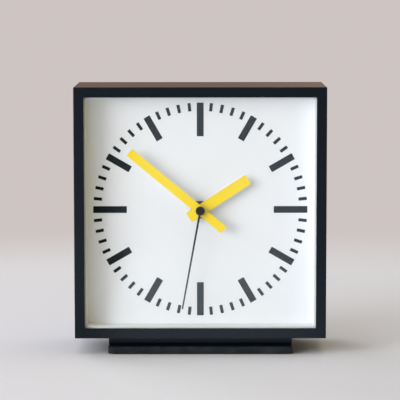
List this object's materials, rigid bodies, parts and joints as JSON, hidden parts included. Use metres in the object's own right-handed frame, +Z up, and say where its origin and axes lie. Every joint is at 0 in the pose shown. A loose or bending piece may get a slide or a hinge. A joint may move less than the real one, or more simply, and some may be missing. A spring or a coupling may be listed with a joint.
{
  "type": "square mantel clock",
  "caption": "Square mantel clock: black mitred case on a stepped base, glazed white dial with baton marks, yellow bar hands, and a geared battery movement reached from behind.",
  "frame": {"origin": "centre of the base's underside, on the surface that the clock stands on", "axes": "+Z up, the dial faces -Y, +X to the right as seen from the front"},
  "size_m": [0.185, 0.075, 0.197],
  "materials": {
    "black_lacquer": "satin black lacquer",
    "white_plastic": "satin",
    "clear_glass": "clear, polished",
    "dial_white": "matt white paint, black batons",
    "hardboard": "dark hardboard",
    "plain_wood": "raw",
    "black_felt": "felt",
    "yellow_paint": "satin yellow paint",
    "black_paint": "satin black paint",
    "brass": "turned",
    "steel": "plated",
    "dark_steel": "blackened",
    "black_plastic": "moulded",
    "gear_plastic": "natural, moulded",
    "copper": "enamelled copper wire",
    "circuit_green": "glass laminate",
    "rubber": "matt",
    "battery_jacket": "printed film on a steel can"
  },
  "bodies": {
    "case": {"case_top_board": "black_lacquer", "case_bottom_board": "black_lacquer", "case_left_board": "black_lacquer", "case_right_board": "black_lacquer", "lining_top": "white_plastic", "lining_bottom": "white_plastic", "lining_left": "white_plastic", "lining_right": "white_plastic", "front_glass": "clear_glass", "dial_plate": "dial_white", "dial_board": "plain_wood", "corner_block_upper_left": "plain_wood", "corner_block_upper_right": "plain_wood", "corner_block_lower_left": "plain_wood", "corner_block_lower_right": "plain_wood", "rear_panel": "hardboard", "rear_panel_screw_upper_left": "steel", "rear_panel_screw_upper_right": "steel", "rear_panel_screw_lower_left": "steel", "rear_panel_screw_lower_right": "steel", "base_riser": "black_lacquer", "base_slab": "black_lacquer", "base_felt": "black_felt", "base_screw_1": "steel", "base_screw_2": "steel", "base_screw_3": "steel", "base_screw_4": "steel", "movement_front_shell": "black_plastic", "movement_middle_plate": "black_plastic", "movement_rear_shell": "black_plastic", "threaded_bush": "brass", "fixing_nut": "dark_steel", "fixing_washer": "dark_steel", "rubber_washer": "rubber", "circuit_board": "circuit_green", "quartz_crystal": "steel", "motor_coil": "copper", "motor_stator": "steel", "battery_contact_plus": "steel", "battery_contact_minus": "steel"},
    "seconds": {"second_hand": "black_paint", "second_wheel": "gear_plastic"},
    "intermediate": {"intermediate_wheel": "gear_plastic"},
    "rotor": {"motor_rotor": "dark_steel"},
    "third": {"third_wheel": "gear_plastic"},
    "centre": {"centre_wheel": "gear_plastic"},
    "minutes": {"minute_hand": "yellow_paint", "minute_arbor": "brass"},
    "minute_reduction": {"minute_wheel": "gear_plastic"},
    "hours": {"hour_hand": "yellow_paint", "hour_wheel": "gear_plastic"},
    "setting": {"setting_knob": "black_plastic"},
    "battery_cell": {"battery": "battery_jacket"}
  },
  "joints": [
    {"name": "second_hand_turn", "type": "hinge", "parent": "case", "child": "seconds", "pos_m": [0, 0, 0.1058], "axis": [0, 1, 0], "continuous": true},
    {"name": "intermediate_wheel_turn", "type": "hinge", "parent": "case", "child": "intermediate", "pos_m": [0.00945, 0, 0.10447], "axis": [0, 1, 0], "continuous": true},
    {"name": "rotor_turn", "type": "hinge", "parent": "case", "child": "rotor", "pos_m": [0.01714, 0, 0.10339], "axis": [0, 1, 0], "continuous": true},
    {"name": "third_wheel_turn", "type": "hinge", "parent": "case", "child": "third", "pos_m": [-0.00865, 0, 0.11446], "axis": [0, 1, 0], "continuous": true},
    {"name": "centre_wheel_turn", "type": "hinge", "parent": "case", "child": "centre", "pos_m": [0, 0, 0.1058], "axis": [0, 1, 0], "continuous": true},
    {"name": "minute_hand_turn", "type": "hinge", "parent": "case", "child": "minutes", "pos_m": [0, 0, 0.1058], "axis": [0, 1, 0], "continuous": true},
    {"name": "minute_wheel_turn", "type": "hinge", "parent": "case", "child": "minute_reduction", "pos_m": [0.00679, 0, 0.11259], "axis": [0, 1, 0], "continuous": true},
    {"name": "hour_hand_turn", "type": "hinge", "parent": "case", "child": "hours", "pos_m": [0, 0, 0.1058], "axis": [0, 1, 0], "continuous": true},
    {"name": "setting_knob_turn", "type": "hinge", "parent": "case", "child": "setting", "pos_m": [0.01358, 0, 0.11938], "axis": [0, 1, 0], "continuous": true},
    {"name": "battery_slide", "type": "slide", "parent": "case", "child": "battery_cell", "axis": [0, 1, 0], "range_m": [0, 0.035]}
  ],
  "couplings": [
    {"joint": "intermediate_wheel_turn", "follows": "second_hand_turn", "ratio": -5},
    {"joint": "rotor_turn", "follows": "second_hand_turn", "ratio": 30},
    {"joint": "third_wheel_turn", "follows": "second_hand_turn", "ratio": -0.13333},
    {"joint": "centre_wheel_turn", "follows": "second_hand_turn", "ratio": 0.016667},
    {"joint": "minute_wheel_turn", "follows": "minute_hand_turn", "ratio": -0.33333},
    {"joint": "hour_hand_turn", "follows": "minute_hand_turn", "ratio": 0.083333},
    {"joint": "setting_knob_turn", "follows": "minute_hand_turn", "ratio": 1}
  ]
}
